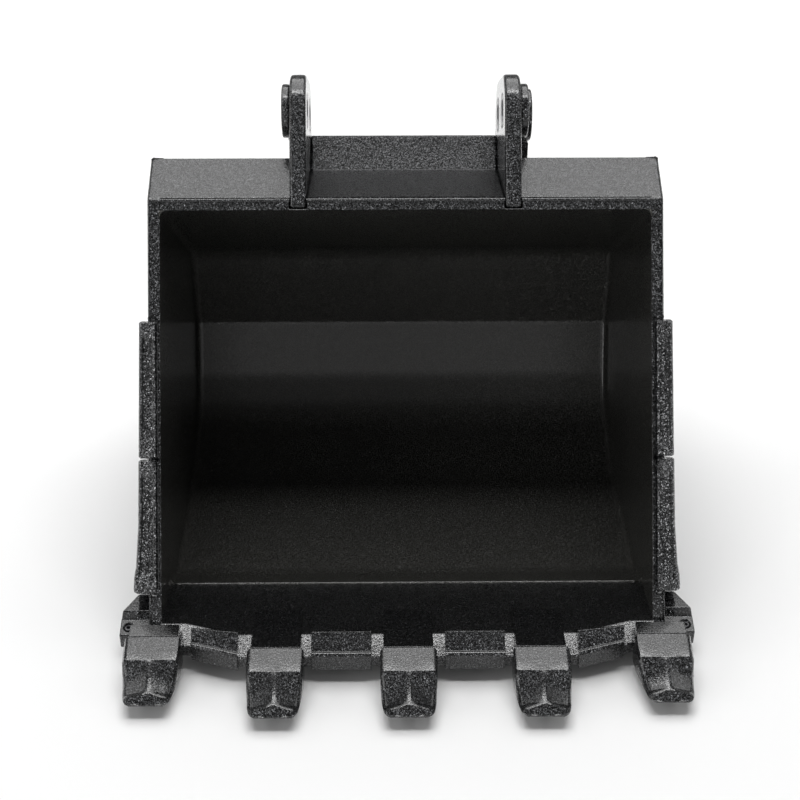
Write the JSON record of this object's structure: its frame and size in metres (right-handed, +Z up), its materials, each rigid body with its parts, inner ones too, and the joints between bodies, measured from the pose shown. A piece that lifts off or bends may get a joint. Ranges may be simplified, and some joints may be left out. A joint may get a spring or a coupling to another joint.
{
  "type": "excavator bucket",
  "caption": "Wide digging bucket with a curved shell, swept lip with slip-on teeth and edge shrouds, bolted side guards, and a pair of pin ears on top.",
  "frame": {"origin": "on the ground under the middle of the object's outer box", "axes": "+X to the bucket's right seen from the mouth, +Y from the teeth towards the back, +Z up"},
  "size_m": [0.1228, 0.1178, 0.1042],
  "materials": {
    "casting": "dark charcoal metallic flake paint, satin",
    "shell": "dark charcoal metallic flake paint, satin",
    "bush": "machined steel",
    "screw": "black oxide"
  },
  "bodies": {
    "bucket": {"corner_guard_left": "casting", "corner_guard_right": "casting", "corner_screw_left": "screw", "corner_screw_right": "screw", "ear_left": "casting", "ear_right": "casting", "eye_boss_front_left": "casting", "eye_boss_front_right": "casting", "eye_boss_rear_left": "casting", "eye_boss_rear_right": "casting", "eye_bush_front_left": "bush", "eye_bush_front_right": "bush", "eye_bush_rear_left": "bush", "eye_bush_rear_right": "bush", "eye_rib_left": "casting", "eye_rib_right": "casting", "guard_screw_lower_left_bottom": "screw", "guard_screw_lower_left_top": "screw", "guard_screw_lower_right_bottom": "screw", "guard_screw_lower_right_top": "screw", "guard_screw_upper_left_bottom": "screw", "guard_screw_upper_left_top": "screw", "guard_screw_upper_right_bottom": "screw", "guard_screw_upper_right_top": "screw", "hitch_back_plate": "casting", "hitch_front_plate": "casting", "lip_plate": "casting", "lip_shroud_1": "casting", "lip_shroud_2": "casting", "lip_shroud_3": "casting", "lip_shroud_4": "casting", "side_guard_lower_left": "casting", "side_guard_lower_right": "casting", "side_guard_upper_left": "casting", "side_guard_upper_right": "casting", "side_plate_left": "casting", "side_plate_right": "casting", "tooth_adapter_1": "casting", "tooth_adapter_2": "casting", "tooth_adapter_3": "casting", "tooth_adapter_4": "casting", "tooth_adapter_5": "casting", "torque_box_left": "casting", "torque_box_right": "casting", "wrapper_shell": "shell"},
    "tooth_body_1": {"tooth_1": "casting"},
    "clamp_screw_body_1": {"tooth_clamp_screw_1": "screw"},
    "tooth_body_2": {"tooth_2": "casting"},
    "clamp_screw_body_2": {"tooth_clamp_screw_2": "screw"},
    "tooth_body_3": {"tooth_3": "casting"},
    "clamp_screw_body_3": {"tooth_clamp_screw_3": "screw"},
    "tooth_body_4": {"tooth_4": "casting"},
    "clamp_screw_body_4": {"tooth_clamp_screw_4": "screw"},
    "tooth_body_5": {"tooth_5": "casting"},
    "clamp_screw_body_5": {"tooth_clamp_screw_5": "screw"}
  },
  "joints": [
    {"name": "tooth_1_slide", "type": "slide", "parent": "bucket", "child": "tooth_body_1", "axis": [0, -1, 0], "range_m": [0, 0.009]},
    {"name": "clamp_screw_1_turn", "type": "hinge", "parent": "tooth_body_1", "child": "clamp_screw_body_1", "pos_m": [-0.0534, -0.0458, 0.0039], "axis": [0, 0, 1], "range_deg": [-360, 0]},
    {"name": "tooth_2_slide", "type": "slide", "parent": "bucket", "child": "tooth_body_2", "axis": [0, -1, 0], "range_m": [0, 0.009]},
    {"name": "clamp_screw_2_turn", "type": "hinge", "parent": "tooth_body_2", "child": "clamp_screw_body_2", "pos_m": [-0.0276, -0.0495, 0.0039], "axis": [0, 0, 1], "range_deg": [-360, 0]},
    {"name": "tooth_3_slide", "type": "slide", "parent": "bucket", "child": "tooth_body_3", "axis": [0, -1, 0], "range_m": [0, 0.009]},
    {"name": "clamp_screw_3_turn", "type": "hinge", "parent": "tooth_body_3", "child": "clamp_screw_body_3", "pos_m": [0, -0.0495, 0.0039], "axis": [0, 0, 1], "range_deg": [-360, 0]},
    {"name": "tooth_4_slide", "type": "slide", "parent": "bucket", "child": "tooth_body_4", "axis": [0, -1, 0], "range_m": [0, 0.009]},
    {"name": "clamp_screw_4_turn", "type": "hinge", "parent": "tooth_body_4", "child": "clamp_screw_body_4", "pos_m": [0.0276, -0.0495, 0.0039], "axis": [0, 0, 1], "range_deg": [-360, 0]},
    {"name": "tooth_5_slide", "type": "slide", "parent": "bucket", "child": "tooth_body_5", "axis": [0, -1, 0], "range_m": [0, 0.009]},
    {"name": "clamp_screw_5_turn", "type": "hinge", "parent": "tooth_body_5", "child": "clamp_screw_body_5", "pos_m": [0.0534, -0.0458, 0.0039], "axis": [0, 0, 1], "range_deg": [-360, 0]}
  ]
}
